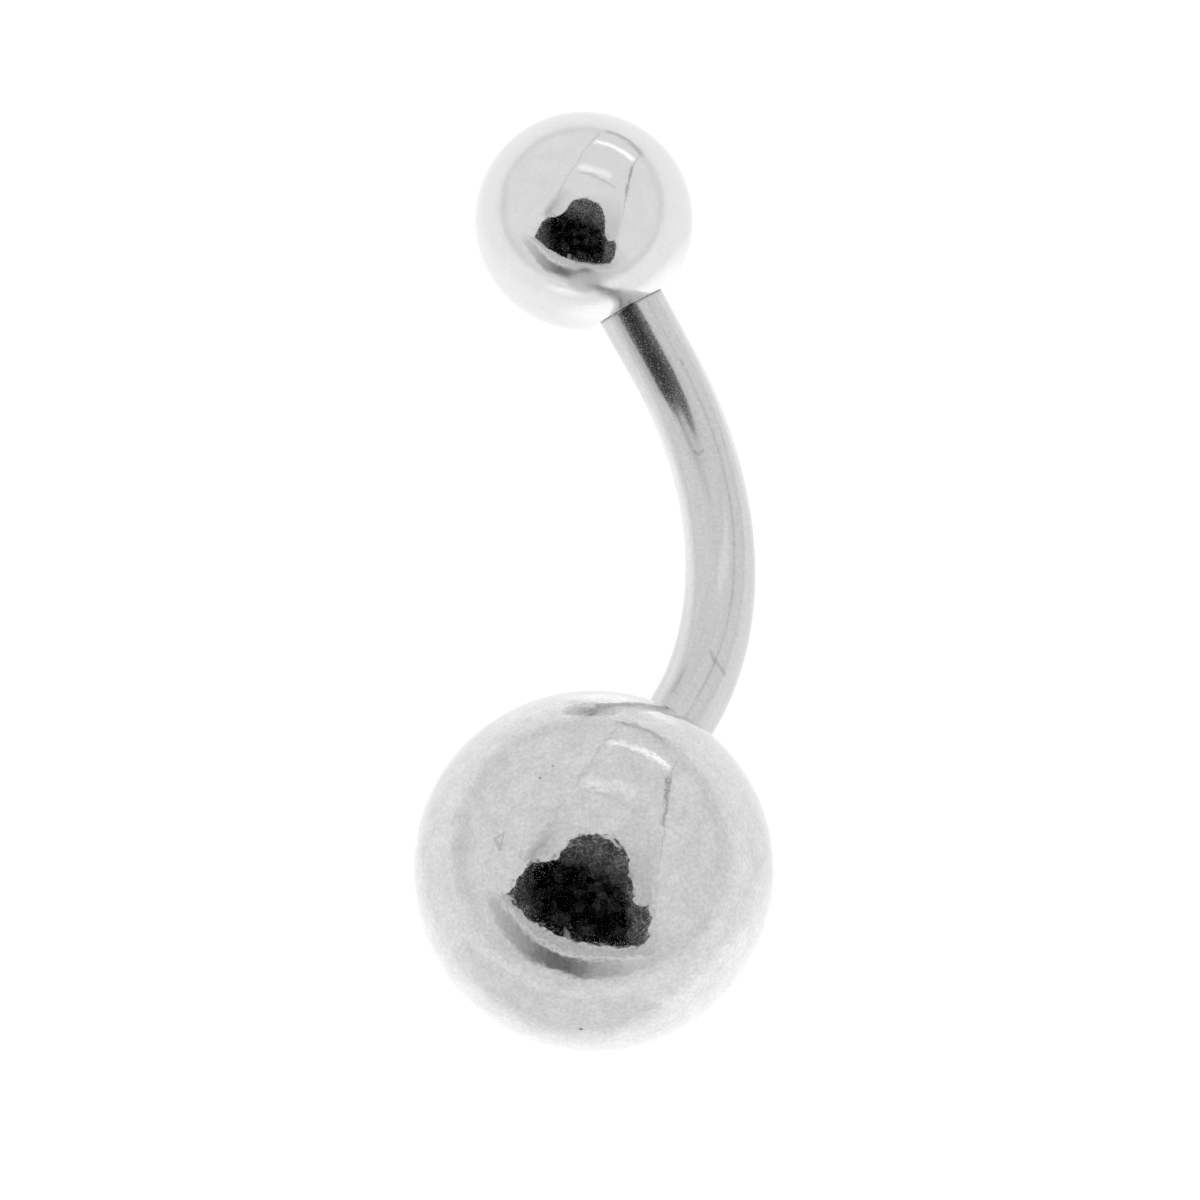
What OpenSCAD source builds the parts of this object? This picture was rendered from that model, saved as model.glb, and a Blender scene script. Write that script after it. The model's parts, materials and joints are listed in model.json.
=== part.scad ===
// Curved barbell for a navel piercing: a bent steel bar with a threaded post at
// each end, and a ball of its own size screwed onto each post.
// It lies as it comes to rest on a table, on both balls and the outside of the bend.
// Z is up from the surface that it lies on, +Y runs from the large ball to the
// small one, and the bend bulges towards +X.

/* [Bar] */
// Diameter of the bar; 14 gauge is 1.6
bar_d = 1.6; // [1.4:0.1:2]
// Wearable length, straight across between the faces of the two balls; 7/16 inch is 11.1
wear_len = 11.1; // [9:0.1:14]
// Angle that the bar turns through
bend_angle = 66; // [56:1:72]
// Straight length of bar at each end of the bend
straight_end = 1.55; // [1:0.05:2]

/* [Balls] */
// Diameter of the upper ball
small_ball_d = 5; // [4:0.5:6]
// Diameter of the lower ball
large_ball_d = 8; // [6:0.5:10]
// Diameter of the flat that is faced on each ball round its hole
face_d = 2.2; // [2.1:0.05:2.6]

/* [Thread] */
// Outer diameter of the thread on each post
thread_d = 1.2; // [0.9:0.05:1.2]
// Distance from one thread ridge to the next
thread_pitch = 0.25; // [0.2:0.05:0.3]
// Number of ridges on each post
thread_turns = 10; // [6:1:11]
// Gap all round between the post's ridges and the wall of the ball's hole
thread_clearance = 0.03; // [0.02:0.01:0.05]
// Room left in each ball's hole past the post's tip
hole_room = 0.4; // [0.2:0.05:0.5]

/* [Hidden] */
$fn = 96;

// Hairline left between each ball's face and the bar's shoulder
seam = 0.03;
// Edge broken on the bar's shoulder, and on the mouth of each ball's hole
shoulder_break = 0.03;
mouth_break = 0.06;
bar_r = bar_d / 2;
// The ends are turned a hair thinner than the bend, and start this far inside it
turned_r = bar_r - 0.01;
end_inset = 0.3;
small_r = small_ball_d / 2;
large_r = large_ball_d / 2;

// Distance from a ball's centre to its faced flat
function face_height(ball_r) = sqrt(pow(ball_r, 2) - pow(face_d / 2, 2));
small_face = face_height(small_r);
large_face = face_height(large_r);

// The bend, in its own plane: the arc's centre is the origin, +X goes to the
// middle of the bend and +Y towards the small ball
half_bend = bend_angle / 2;
bend_r = (wear_len - 2 * (straight_end + seam) * cos(half_bend)) / (2 * sin(half_bend));
bend_ends = [bend_r * cos(half_bend), bend_r * sin(half_bend)];
small_reach = straight_end + seam + small_face;
large_reach = straight_end + seam + large_face;
small_centre = [
    bend_ends.x - small_reach * sin(half_bend),
    bend_ends.y + small_reach * cos(half_bend)
];
large_centre = [
    bend_ends.x - large_reach * sin(half_bend),
    -bend_ends.y - large_reach * cos(half_bend)
];

// How it lies. The line through both balls' centres slopes down to the small
// ball, and the plane of the bend leans about that line until the bar touches
// the surface too.
centre_line = small_centre - large_centre;
centre_span = norm(centre_line);
skew = atan2(centre_line.x, centre_line.y);
slope = asin((large_r - small_r) / centre_span);

// The arc's centre, seen from the large ball's centre, across and along that line
arc_across = -large_centre.x * cos(skew) + large_centre.y * sin(skew);
arc_along = -large_centre.x * sin(skew) - large_centre.y * cos(skew);

// The arc's lowest point is bar_r above the surface where
// clear_height - arc_across * dip = bend_r * sqrt(sin(slope)^2 + dip^2),
// with dip = sin(lean) * cos(slope)
clear_height = large_r - bar_r - arc_along * sin(slope);
lean_a = pow(bend_r, 2) - pow(arc_across, 2);
lean_b = clear_height * arc_across;
lean_c = pow(bend_r * sin(slope), 2) - pow(clear_height, 2);
dip = (-lean_b + sqrt(pow(lean_b, 2) - lean_a * lean_c)) / lean_a;
// A bend too flat to reach the surface hangs straight down
lean = asin(min(1, dip / cos(slope)));

// The large ball's centre, so that the whole piece's box is centred on the origin.
// The box reaches past that centre to the bend's bulge or the ball's own side, and
// to the far side of the small ball.
reach_x = max(large_r, (arc_across + bend_r) * cos(lean) + bar_r);
reach_y = centre_span * cos(slope) + small_r;
large_place = [(large_r - reach_x) / 2, (large_r - reach_y) / 2, large_r];

// Thread form: 60 degree flanks, with narrow flats on the ridges and in the roots
crest_r = thread_d / 2;
thread_depth = 0.6134 * thread_pitch;
root_r = crest_r - thread_depth;
crest_flat = thread_pitch / 8;
flank = thread_depth * tan(30);
neck_len = 0.15;
tip_chamfer = 0.12;
post_len = neck_len + thread_turns * thread_pitch + tip_chamfer;
hole_r = crest_r + thread_clearance;
hole_depth = seam + post_len + hole_room;
drill_point_angle = 118;
// How far a cut runs past the face that it opens
overrun = 0.2;

// Puts what is drawn in the plane of the bend where the piece lies
module lay_down() {
    translate(large_place)
        rotate([-slope, 0, 0])
            rotate([0, lean, 0])
                rotate([0, 0, skew])
                    translate([-large_centre.x, -large_centre.y, 0])
                        children();
}

// Puts what points along +Z at an end of the bend, pointing out along the bar.
// side is 1 at the small ball's end and -1 at the large ball's.
module at_bend_end(side) {
    translate([bend_ends.x, side * bend_ends.y, 0])
        rotate([0, 0, side * half_bend])
            rotate([-90 * side, 0, 0])
                children();
}

// Half outline of a turned end of the bar, whose bend ends at height 0: the straight
// length, its shoulder, a short neck, the thread's ridges and the chamfered tip
function end_outline() =
    let (
        thread_start = straight_end + neck_len,
        thread_end = thread_start + thread_turns * thread_pitch,
        ridges = [
            for (turn = [0 : thread_turns - 1])
                let (start = thread_start + turn * thread_pitch)
                each [
                    [root_r, start],
                    [crest_r, start + flank],
                    [crest_r, start + flank + crest_flat],
                    [root_r, start + 2 * flank + crest_flat]
                ]
        ]
    )
    concat(
        [
            [0, -end_inset],
            [turned_r, -end_inset],
            [turned_r, straight_end - shoulder_break],
            [turned_r - shoulder_break, straight_end],
            [root_r, straight_end]
        ],
        ridges,
        [
            [root_r, thread_end],
            [root_r - tip_chamfer, thread_end + tip_chamfer],
            [0, thread_end + tip_chamfer]
        ]
    );

// The bend and the two turned ends, in one solid
module curved_bar() {
    color("silver")
        lay_down() {
            rotate([0, 0, -half_bend])
                rotate_extrude(angle = bend_angle)
                    translate([bend_r, 0])
                        circle(r = bar_r);
            for (side = [-1, 1])
                at_bend_end(side)
                    rotate_extrude()
                        polygon(end_outline());
        }
}

// One ball, its centre at the origin and its faced, drilled side towards -Z
module drilled_ball(ball_r) {
    face = face_height(ball_r);
    point_len = hole_r / tan(drill_point_angle / 2);
    difference() {
        sphere(r = ball_r);
        translate([0, 0, -ball_r - overrun])
            cylinder(r = ball_r, h = ball_r - face + overrun);
        translate([0, 0, -face - overrun])
            cylinder(r = hole_r, h = hole_depth + overrun);
        translate([0, 0, hole_depth - face])
            cylinder(r1 = hole_r, r2 = 0, h = point_len);
        translate([0, 0, -face])
            cylinder(r1 = hole_r + mouth_break, r2 = hole_r, h = mouth_break);
    }
}

module small_ball() {
    color("gainsboro")
        lay_down()
            at_bend_end(1)
                translate([0, 0, small_reach])
                    drilled_ball(small_r);
}

module large_ball() {
    color("gainsboro")
        lay_down()
            at_bend_end(-1)
                translate([0, 0, large_reach])
                    drilled_ball(large_r);
}

curved_bar();
small_ball();
large_ball();
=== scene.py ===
# %% [markdown]
# A curved barbell is the simplest piece of navel jewellery. It is a short steel
# bar, bent into a shallow arc, with a threaded post at each end and a steel ball
# screwed onto each post.
# The solids of the three pieces are already packed at their real size. Here they
# only tell us where everything is, and finer meshes take their place for the
# picture. Every length of the metal is in millimetres, as on a workshop drawing,
# and MM turns it into Blender's metres.

import json
import math

import bmesh
import bpy
from mathutils import Matrix, Vector


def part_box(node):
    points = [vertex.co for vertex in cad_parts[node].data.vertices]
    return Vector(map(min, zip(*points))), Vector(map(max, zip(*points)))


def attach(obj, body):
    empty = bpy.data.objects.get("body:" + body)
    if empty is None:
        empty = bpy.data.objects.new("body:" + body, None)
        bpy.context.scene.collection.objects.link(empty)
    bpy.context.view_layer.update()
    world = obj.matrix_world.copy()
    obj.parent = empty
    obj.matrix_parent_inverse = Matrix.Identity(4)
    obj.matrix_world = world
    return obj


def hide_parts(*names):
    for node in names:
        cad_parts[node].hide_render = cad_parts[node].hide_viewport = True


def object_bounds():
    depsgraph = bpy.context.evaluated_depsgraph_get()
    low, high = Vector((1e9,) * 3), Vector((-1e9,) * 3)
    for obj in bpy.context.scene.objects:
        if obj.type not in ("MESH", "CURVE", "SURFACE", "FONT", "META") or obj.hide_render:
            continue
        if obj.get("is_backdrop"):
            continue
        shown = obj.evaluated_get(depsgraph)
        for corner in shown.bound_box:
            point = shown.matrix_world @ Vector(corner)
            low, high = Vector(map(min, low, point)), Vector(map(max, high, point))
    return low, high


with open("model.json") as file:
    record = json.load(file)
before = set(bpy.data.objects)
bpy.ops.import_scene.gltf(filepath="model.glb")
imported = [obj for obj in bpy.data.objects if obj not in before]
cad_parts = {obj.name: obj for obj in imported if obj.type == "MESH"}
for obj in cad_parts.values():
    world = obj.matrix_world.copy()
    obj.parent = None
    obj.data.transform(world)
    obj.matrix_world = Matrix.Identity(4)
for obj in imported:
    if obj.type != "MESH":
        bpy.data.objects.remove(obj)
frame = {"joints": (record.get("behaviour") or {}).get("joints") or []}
solids_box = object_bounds()
MM = 0.001

# %% [markdown]
# The camera looks steeply down on the jewellery through a long lens, turned a
# little about its own axis. It is made first, because some marks on the steel
# are placed by the pixel where they show.
# The roll needs a matrix of our own: the camera's right, up and backward
# directions are its three columns.

# %% Make the camera
AIM = Vector((0.23, -0.59, 3.0)) * MM
CAMERA_DISTANCE = 200 * MM
CAMERA_AZIMUTH = math.radians(5.79)
CAMERA_ELEVATION = math.radians(69.86)
CAMERA_ROLL = math.radians(-7.24)
LENS = 267.3
SENSOR = 36.0

looking = Vector((
    -math.sin(CAMERA_AZIMUTH) * math.cos(CAMERA_ELEVATION),
    math.cos(CAMERA_AZIMUTH) * math.cos(CAMERA_ELEVATION),
    -math.sin(CAMERA_ELEVATION),
))
level_right = Vector((math.cos(CAMERA_AZIMUTH), math.sin(CAMERA_AZIMUTH), 0))
level_up = level_right.cross(looking)
image_right = level_right * math.cos(CAMERA_ROLL) + level_up * math.sin(CAMERA_ROLL)
image_up = level_up * math.cos(CAMERA_ROLL) - level_right * math.sin(CAMERA_ROLL)
camera_place = AIM - looking * CAMERA_DISTANCE

camera = bpy.data.objects.new("camera", bpy.data.cameras.new("camera"))
camera.data.lens = LENS
camera.data.sensor_width = SENSOR
camera.data.clip_start = 1 * MM
camera.matrix_world = Matrix.Translation(camera_place) @ Matrix(
    (image_right, image_up, -looking)
).transposed().to_4x4()
bpy.context.scene.collection.objects.link(camera)
bpy.context.scene.camera = camera
print("camera at", [round(v / MM, 1) for v in camera_place], "mm")

# %% [markdown]
# The frame says where the balls lie and which way each one comes off its post.
# The bend needs no more than that. Each end of the arc lies straight down the
# post's line from a ball, and the arc is the one circle that leaves both ends
# along those lines.
# Three sizes come from the drawing, because a box can't tell them: the flat that
# is faced on a ball, the hairline left open beside it, and the bar's straight end.

# %% Read the balls and the bend from the frame
FACE_D = 2.2
SEAM = 0.03
STRAIGHT_END = 1.55
READ_TO = 0.01


def ball_of(node):
    """Centre and radius of a ball in millimetres, from its solid's box."""
    low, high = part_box(node)
    radius = max(high - low) / 2 / MM
    return (low + high) / 2 / MM, round(radius / READ_TO) * READ_TO


def face_height(ball_r):
    """Distance from a ball's centre to the flat that is faced round its hole."""
    return math.sqrt(ball_r**2 - (FACE_D / 2) ** 2)


way_off = {joint["child"]: Vector(joint["axis"]).normalized() for joint in frame["joints"]}
small_centre, small_r = ball_of("small_ball")
large_centre, large_r = ball_of("large_ball")
small_end = small_centre - way_off["small_ball"] * (face_height(small_r) + SEAM + STRAIGHT_END)
large_end = large_centre - way_off["large_ball"] * (face_height(large_r) + SEAM + STRAIGHT_END)

bend_angle = way_off["small_ball"].angle(-way_off["large_ball"])
bend_r = (small_end - large_end).length / (2 * math.sin(bend_angle / 2))
bend_length = bend_r * bend_angle
bulge_way = -(way_off["small_ball"] + way_off["large_ball"]).normalized()
bar_way = (small_end - large_end).normalized()
bend_middle = (small_end + large_end) / 2 + bulge_way * bend_r * (1 - math.cos(bend_angle / 2))
print(f"balls {2 * small_r:.2f} and {2 * large_r:.2f} mm")
print(f"bend of {bend_r:.3f} mm radius through {math.degrees(bend_angle):.2f} degrees")
print(f"bend {bend_length:.2f} mm long")

# %% [markdown]
# The bar starts as a straight piece of drawn rod. Both its ends are turned down
# on a lathe to a thin post, which leaves a square shoulder for the ball's flat
# to close against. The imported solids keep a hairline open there, which shows as
# a black line, so the picture's bar is a hair longer and leaves less of it.
# A lathe turns an outline into a round solid, and so does this function. A point
# on the axis closes the shape, and every edge that turns sharply is marked, so
# that smooth shading stops there.

# %% Turn an outline into a round mesh
SHARP_FROM = math.radians(12)


def finish_mesh(work, mesh):
    """Faces point outwards, round stretches shade smoothly and crisp edges stay crisp."""
    bmesh.ops.recalc_face_normals(work, faces=work.faces)
    for face in work.faces:
        face.smooth = True
    for edge in work.edges:
        edge.smooth = edge.calc_face_angle(0) < SHARP_FROM
    work.to_mesh(mesh)
    work.free()
    return mesh


def turned_mesh(name, outline, sides):
    """Spins (radius, height) points round Z. The first and the last are on the axis."""
    work = bmesh.new()
    turns = [math.tau * side / sides for side in range(sides)]
    rings = []
    for radius, height in outline:
        if radius:
            places = [(radius * math.cos(turn), radius * math.sin(turn), height) for turn in turns]
        else:
            places = [(0, 0, height)]
        rings.append([work.verts.new(place) for place in places])
    for ring, following in zip(rings, rings[1:]):
        for side in range(sides):
            beside = (side + 1) % sides
            corners = [ring[side % len(ring)], ring[beside % len(ring)]]
            corners += [following[beside % len(following)], following[side % len(following)]]
            work.faces.new(list(dict.fromkeys(corners)))
    return finish_mesh(work, bpy.data.meshes.new(name))


def rounded_edge(radius, height, inward, back, steps=6):
    """An outside corner at (radius, height), reached from below, eased off inward and back."""
    quarter = [math.pi / 2 * step / steps for step in range(steps + 1)]
    return [
        (radius - inward + inward * math.cos(turn), height - back + back * math.sin(turn))
        for turn in quarter
    ]


# %% Turn the straight bar
BAR_R = 0.8
SHOULDER_BREAK = 0.012, 0.06
LEFT_OPEN = 0.003
TIGHTENED = SEAM - LEFT_OPEN
NECK = 0.15
TIP_CHAMFER = 0.12
THREAD_R = 0.6
THREAD_PITCH = 0.25
THREAD_TURNS = 10
DEPTH_PER_PITCH = 0.6134
THREAD_DEPTH = DEPTH_PER_PITCH * THREAD_PITCH
BEND_STEPS = 72
BAR_SIDES = 128

shoulder = bend_length / 2 + STRAIGHT_END
thread_start = shoulder + NECK
thread_end = thread_start + THREAD_TURNS * THREAD_PITCH
root_r = THREAD_R - THREAD_DEPTH

upper_half = [(BAR_R, bend_length / 2 * step / BEND_STEPS) for step in range(1, BEND_STEPS + 1)]
upper_half += rounded_edge(BAR_R, shoulder + TIGHTENED, *SHOULDER_BREAK)
upper_half += [(root_r, shoulder + TIGHTENED), (root_r, thread_end)]
upper_half += [(root_r - TIP_CHAMFER, thread_end + TIP_CHAMFER), (0, thread_end + TIP_CHAMFER)]
lower_half = [(radius, -height) for radius, height in reversed(upper_half)]
straight_bar = turned_mesh("bent_bar", lower_half + [(BAR_R, 0)] + upper_half, BAR_SIDES)
print(f"straight bar {2 * (thread_end + TIP_CHAMFER):.2f} mm from tip to tip")

# %% [markdown]
# A thread is one ridge that climbs round the post by its pitch on each turn. It
# repeats along a path, which is what Geometry Nodes are for: a spiral curve
# carries a four-cornered outline, wide at the root and narrow at the crest, and
# the outline shrinks to nothing over the first and last turn, where a real die
# runs out of the steel.
# The same tree cuts the thread in a ball's hole. There the crest is nearer the
# axis than the root.

# %% Helpers for node trees
def new_tree(name, sockets):
    """A Geometry Nodes tree with the given named inputs, each (name, kind, default)."""
    tree = bpy.data.node_groups.new(name, "GeometryNodeTree")
    every = [("Geometry", "Geometry", None), *sockets, ("Material", "Material", None)]
    for label, kind, default in every:
        socket_type = f"NodeSocket{kind}"
        socket = tree.interface.new_socket(name=label, in_out="INPUT", socket_type=socket_type)
        if default is not None:
            socket.default_value = default
    tree.interface.new_socket(name="Geometry", in_out="OUTPUT", socket_type="NodeSocketGeometry")
    return tree, tree.nodes.new("NodeGroupInput").outputs


def add_node(tree, kind, inputs=(), **settings):
    """Adds a node, sets its properties and fills its inputs, which go by name or number."""
    node = tree.nodes.new(kind)
    for key, value in settings.items():
        setattr(node, key, value)
    for key, value in dict(inputs).items():
        if isinstance(value, bpy.types.NodeSocket):
            tree.links.new(value, node.inputs[key])
        else:
            node.inputs[key].default_value = value
    return node


def result(tree, kind, inputs=(), **settings):
    """The first output of a new node."""
    return add_node(tree, kind, inputs, **settings).outputs[0]


def maths(tree, operation, *values):
    """The result of one Math node."""
    return result(tree, "ShaderNodeMath", enumerate(values), operation=operation)


def split(tree, vector):
    """A vector's X, Y and Z."""
    return add_node(tree, "ShaderNodeSeparateXYZ", {0: vector}).outputs


def joined(tree, **parts):
    """A vector from its X, Y and Z. A part that isn't given is 0."""
    return result(tree, "ShaderNodeCombineXYZ", parts)


def end_tree(tree, shape, material):
    """Every tree ends in real geometry that carries its material."""
    real = result(tree, "GeometryNodeRealizeInstances", {"Geometry": shape})
    coat = {"Geometry": real, "Material": material}
    add_node(tree, "NodeGroupOutput", {0: result(tree, "GeometryNodeSetMaterial", coat)})
    return tree


# %% Build the thread tree
ROOT_SUNK = 0.1
THINNEST = 0.02


def thread_tree():
    """Adds one thread ridge, wound right-handed round Z, to what comes in."""
    tree, given = new_tree("thread_ridge", [
        ("Turns", "Float", 10.0),
        ("Pitch", "Float", 0.25),
        ("Start Height", "Float", 0.0),
        ("Root Radius", "Float", 0.45),
        ("Crest Radius", "Float", 0.6),
        ("Root Width", "Float", 0.2),
        ("Crest Width", "Float", 0.03),
        ("Run-out Turns", "Float", 1.0),
        ("Points per Turn", "Int", 48),
        ("Turn Over", "Vector", (0.0, 0.0, 0.0)),
    ])
    spiral = result(tree, "GeometryNodeCurveSpiral", {
        "Resolution": given["Points per Turn"],
        "Rotations": given["Turns"],
        "Start Radius": given["Root Radius"],
        "End Radius": given["Root Radius"],
        "Height": maths(tree, "MULTIPLY", given["Turns"], given["Pitch"]),
    })
    upright = result(tree, "GeometryNodeSetCurveNormal", {"Curve": spiral}, mode="Z_UP")

    # The outline's X points at the axis and its Y along it, and its root is sunk in the steel
    crest_x = maths(tree, "SUBTRACT", given["Root Radius"], given["Crest Radius"])
    root_x = maths(tree, "MULTIPLY", crest_x, -ROOT_SUNK)
    corners = {}
    for number, (x, width, side) in enumerate([
        (root_x, "Root Width", -0.5),
        (crest_x, "Crest Width", -0.5),
        (crest_x, "Crest Width", 0.5),
        (root_x, "Root Width", 0.5),
    ], start=1):
        y = maths(tree, "MULTIPLY", given[width], side)
        corners[f"Point {number}"] = joined(tree, X=x, Y=y)
    outline = result(tree, "GeometryNodeCurvePrimitiveQuadrilateral", corners, mode="POINTS")

    along = add_node(tree, "GeometryNodeSplineParameter").outputs["Factor"]
    nearest_end = maths(tree, "MINIMUM", along, maths(tree, "SUBTRACT", 1.0, along))
    turns_in = maths(tree, "MULTIPLY", nearest_end, given["Turns"])
    full = maths(tree, "MINIMUM", maths(tree, "DIVIDE", turns_in, given["Run-out Turns"]), 1.0)
    ridge = result(tree, "GeometryNodeCurveToMesh", {
        "Curve": upright,
        "Profile Curve": outline,
        "Scale": maths(tree, "MAXIMUM", full, THINNEST),
        "Fill Caps": True,
    })
    lifted = result(tree, "GeometryNodeTransform", {
        "Geometry": ridge,
        "Translation": joined(tree, Z=given["Start Height"]),
    })
    turned = result(tree, "GeometryNodeTransform", {
        "Geometry": lifted,
        "Rotation": given["Turn Over"],
    })
    both = add_node(tree, "GeometryNodeJoinGeometry", {0: turned})
    tree.links.new(given["Geometry"], both.inputs[0])
    return end_tree(tree, both.outputs[0], given["Material"])


# %% [markdown]
# Bending is the last step in the workshop, and here too. The whole straight bar,
# threads included, is laid along the arc: the height along the bar becomes an
# angle until the end of the bend, and what is left over runs on straight.
# Before it bends the bar, the tree stores where each point was. The steel's
# lengthwise polish lines were drawn on the straight bar and bent with it, so the
# material can follow them by reading that attribute.

# %% Build the bending tree
def bending_tree():
    """Bends what comes in about Y, so that its middle stays at the origin and bulges to +X."""
    tree, given = new_tree("bend_bar", [
        ("Bend Radius", "Float", 8.0),
        ("Bend Angle", "Float", 1.0),
    ])
    place = result(tree, "GeometryNodeInputPosition")
    noted = result(
        tree,
        "GeometryNodeStoreNamedAttribute",
        {"Geometry": given["Geometry"], "Name": "drawn_at", "Value": place},
        data_type="FLOAT_VECTOR",
    )

    x, y, height = split(tree, place)
    half = maths(tree, "DIVIDE", given["Bend Angle"], 2.0)
    wanted = maths(tree, "DIVIDE", height, given["Bend Radius"])
    capped = maths(tree, "MINIMUM", wanted, half)
    turn = maths(tree, "MAXIMUM", capped, maths(tree, "MULTIPLY", half, -1.0))
    beyond = maths(tree, "SUBTRACT", height, maths(tree, "MULTIPLY", turn, given["Bend Radius"]))
    reach = maths(tree, "ADD", x, given["Bend Radius"])
    cosine = maths(tree, "COSINE", turn)
    sine = maths(tree, "SINE", turn)

    round_x = maths(tree, "MULTIPLY", reach, cosine)
    round_z = maths(tree, "MULTIPLY", reach, sine)
    outward = maths(tree, "SUBTRACT", round_x, maths(tree, "MULTIPLY", beyond, sine))
    bent = result(tree, "GeometryNodeSetPosition", {
        "Geometry": noted,
        "Position": joined(
            tree,
            X=maths(tree, "SUBTRACT", outward, given["Bend Radius"]),
            Y=y,
            Z=maths(tree, "ADD", round_z, maths(tree, "MULTIPLY", beyond, cosine)),
        ),
    })
    return end_tree(tree, bent, given["Material"])


# %% [markdown]
# A tree's inputs on a modifier are filled by the sockets' identifiers, before
# the object is first evaluated. The evaluated result then becomes a plain mesh,
# is laid in its real place and turned to metres, and the modifiers go.

# %% Helpers to apply a tree and to place a piece
MERGE_WITHIN = 1e-5


def use_tree(piece, tree, material, **values):
    """Adds the tree as a modifier. A keyword such as Root_Radius fills the input Root Radius."""
    modifier = piece.modifiers.new(tree.name, "NODES")
    modifier.node_group = tree
    values["Material"] = material
    for item in tree.interface.items_tree:
        key = item.name.replace(" ", "_").replace("-", "_")
        if item.in_out == "INPUT" and key in values:
            modifier[item.identifier] = values[key]


def settle(piece, place, turn):
    """Makes the piece a plain mesh, in metres, at its place. turn holds its three directions."""
    evaluated = piece.evaluated_get(bpy.context.evaluated_depsgraph_get())
    plain = bpy.data.meshes.new_from_object(evaluated)
    piece.modifiers.clear()
    work = bmesh.new()
    work.from_mesh(plain)
    bmesh.ops.remove_doubles(work, verts=work.verts, dist=MERGE_WITHIN)
    finish_mesh(work, plain)
    turned = Matrix(turn).transposed().to_4x4()
    plain.transform(Matrix.Translation(place * MM) @ turned @ Matrix.Scale(MM, 4))
    piece.data = plain
    print(piece.name, len(plain.polygons), "faces")
    return piece


def new_piece(name, mesh):
    """An object at the origin for a mesh that is still on the bench."""
    piece = bpy.data.objects.new(name, mesh)
    bpy.context.scene.collection.objects.link(piece)
    return piece


# %% [markdown]
# Polished steel has almost no colour of its own, and a perfect mirror looks like
# a computer's. What makes it steel is what the polishing wheel left behind: a
# faint waviness, like the skin of an orange, which frays the edges of every
# reflection, hairline scratches, a fine grain of lighter and darker specks, tiny
# pits, and patches where the shine is a little weaker.
# The waviness goes into the bump. Specks, scratches and pits darken the colour,
# and pits and patches weaken the shine, which is the roughness. All of them read
# the place on the piece itself, so they stay on the steel wherever it goes.
# Nearly all of a noise lies between 0.3 and 0.7. The first two numbers of each
# fitted() pick the part of it that is wanted, and the last two what it becomes.

# %% Helpers for metal
SCRATCH_WANDER = 0.6
SCRATCH_WIDTH = 0.006
PATCH_FINER = 2.3
PATCH_FROM = 0.6
PATCH_FULL = 0.64


def shader_tree(name):
    """A new material with a metallic Principled shader, and both."""
    material = bpy.data.materials.new(name)
    material.use_nodes = True
    shader = material.node_tree.nodes["Principled BSDF"]
    shader.inputs["Metallic"].default_value = 1.0
    return material, material.node_tree, shader


def noise(tree, place, scale, detail=2.0, roughness=0.5, distortion=0.0):
    """A noise texture's value, about 0.5 on average."""
    return result(tree, "ShaderNodeTexNoise", {
        "Vector": place,
        "Scale": scale,
        "Detail": detail,
        "Roughness": roughness,
        "Distortion": distortion,
    })


def fitted(tree, value, low, high, to_low=0.0, to_high=1.0):
    """Maps low..high to to_low..to_high, and holds the ends."""
    return result(tree, "ShaderNodeMapRange", {
        "Value": value,
        "From Min": low,
        "From Max": high,
        "To Min": to_low,
        "To Max": to_high,
    })


def hairlines(tree, place, scale, share):
    """Thin curved lines: where a broad noise crosses its middle, kept only in patches."""
    broad = noise(tree, place, scale, detail=0.0, distortion=SCRATCH_WANDER)
    off_line = maths(tree, "ABSOLUTE", maths(tree, "SUBTRACT", broad, 0.5))
    line = fitted(tree, off_line, 0.0, SCRATCH_WIDTH, 1.0, 0.0)
    spread = noise(tree, place, scale * PATCH_FINER, detail=1.0)
    patch = fitted(tree, spread, PATCH_FROM - share, PATCH_FULL - share)
    return maths(tree, "MULTIPLY", line, patch)


def coloured(tree, shader, shade):
    """Gives the shader one number as its grey."""
    grey = dict.fromkeys(("Red", "Green", "Blue"), shade)
    tree.links.new(result(tree, "ShaderNodeCombineColor", grey), shader.inputs["Base Color"])


def bumped(tree, shader, height, distance):
    """Raises the surface by the height, where 1 is this distance in metres."""
    bump = {"Strength": 1.0, "Distance": distance, "Height": height}
    tree.links.new(result(tree, "ShaderNodeBump", bump), shader.inputs["Normal"])


# %% [markdown]
# The two balls come from the same polishing barrel, but the large one is rougher
# from wear: its reflections are frayed and its grain shows, while the small one
# is still bright. One function makes both finishes.
# Some marks are a ball's own. The large one has a dark pit low down, two pinholes
# higher up, a small three-sided nick at the left and a rubbed place above its
# middle. Beside its joint, where the wheel can't reach, each ball is left dull.
# Every mark is placed by the pixels where it shows, and the ray through a pixel
# is followed to the ball.

# %% Find places on a ball by pixel
IMAGE_SIDE = 1200

# A mark's pixels, its width in millimetres and how strong it is
LARGE_MARKS = {
    "pit": ([(581, 1029)], 0.12, 0.8),
    "right pinhole": ([(553, 766)], 0.09, 0.45),
    "left pinhole": ([(540, 778)], 0.09, 0.45),
    "nick's left side": ([(495, 839), (500, 849)], 0.14, 0.25),
    "nick's right side": ([(500, 849), (504, 833)], 0.06, 0.28),
    "nick's top": ([(504, 833), (495, 839)], 0.09, 0.2),
}
LARGE_DULL = {
    "beside the joint": ([(578, 711), (606, 711), (636, 709), (664, 709)], 0.5, 0.17),
    "rubbed place": ([(616, 787), (636, 799)], 0.9, 0.12),
}
SMALL_DULL = {
    "beside the joint": ([(581, 281), (596, 285), (612, 290)], 1.3, 0.13),
}


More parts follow.
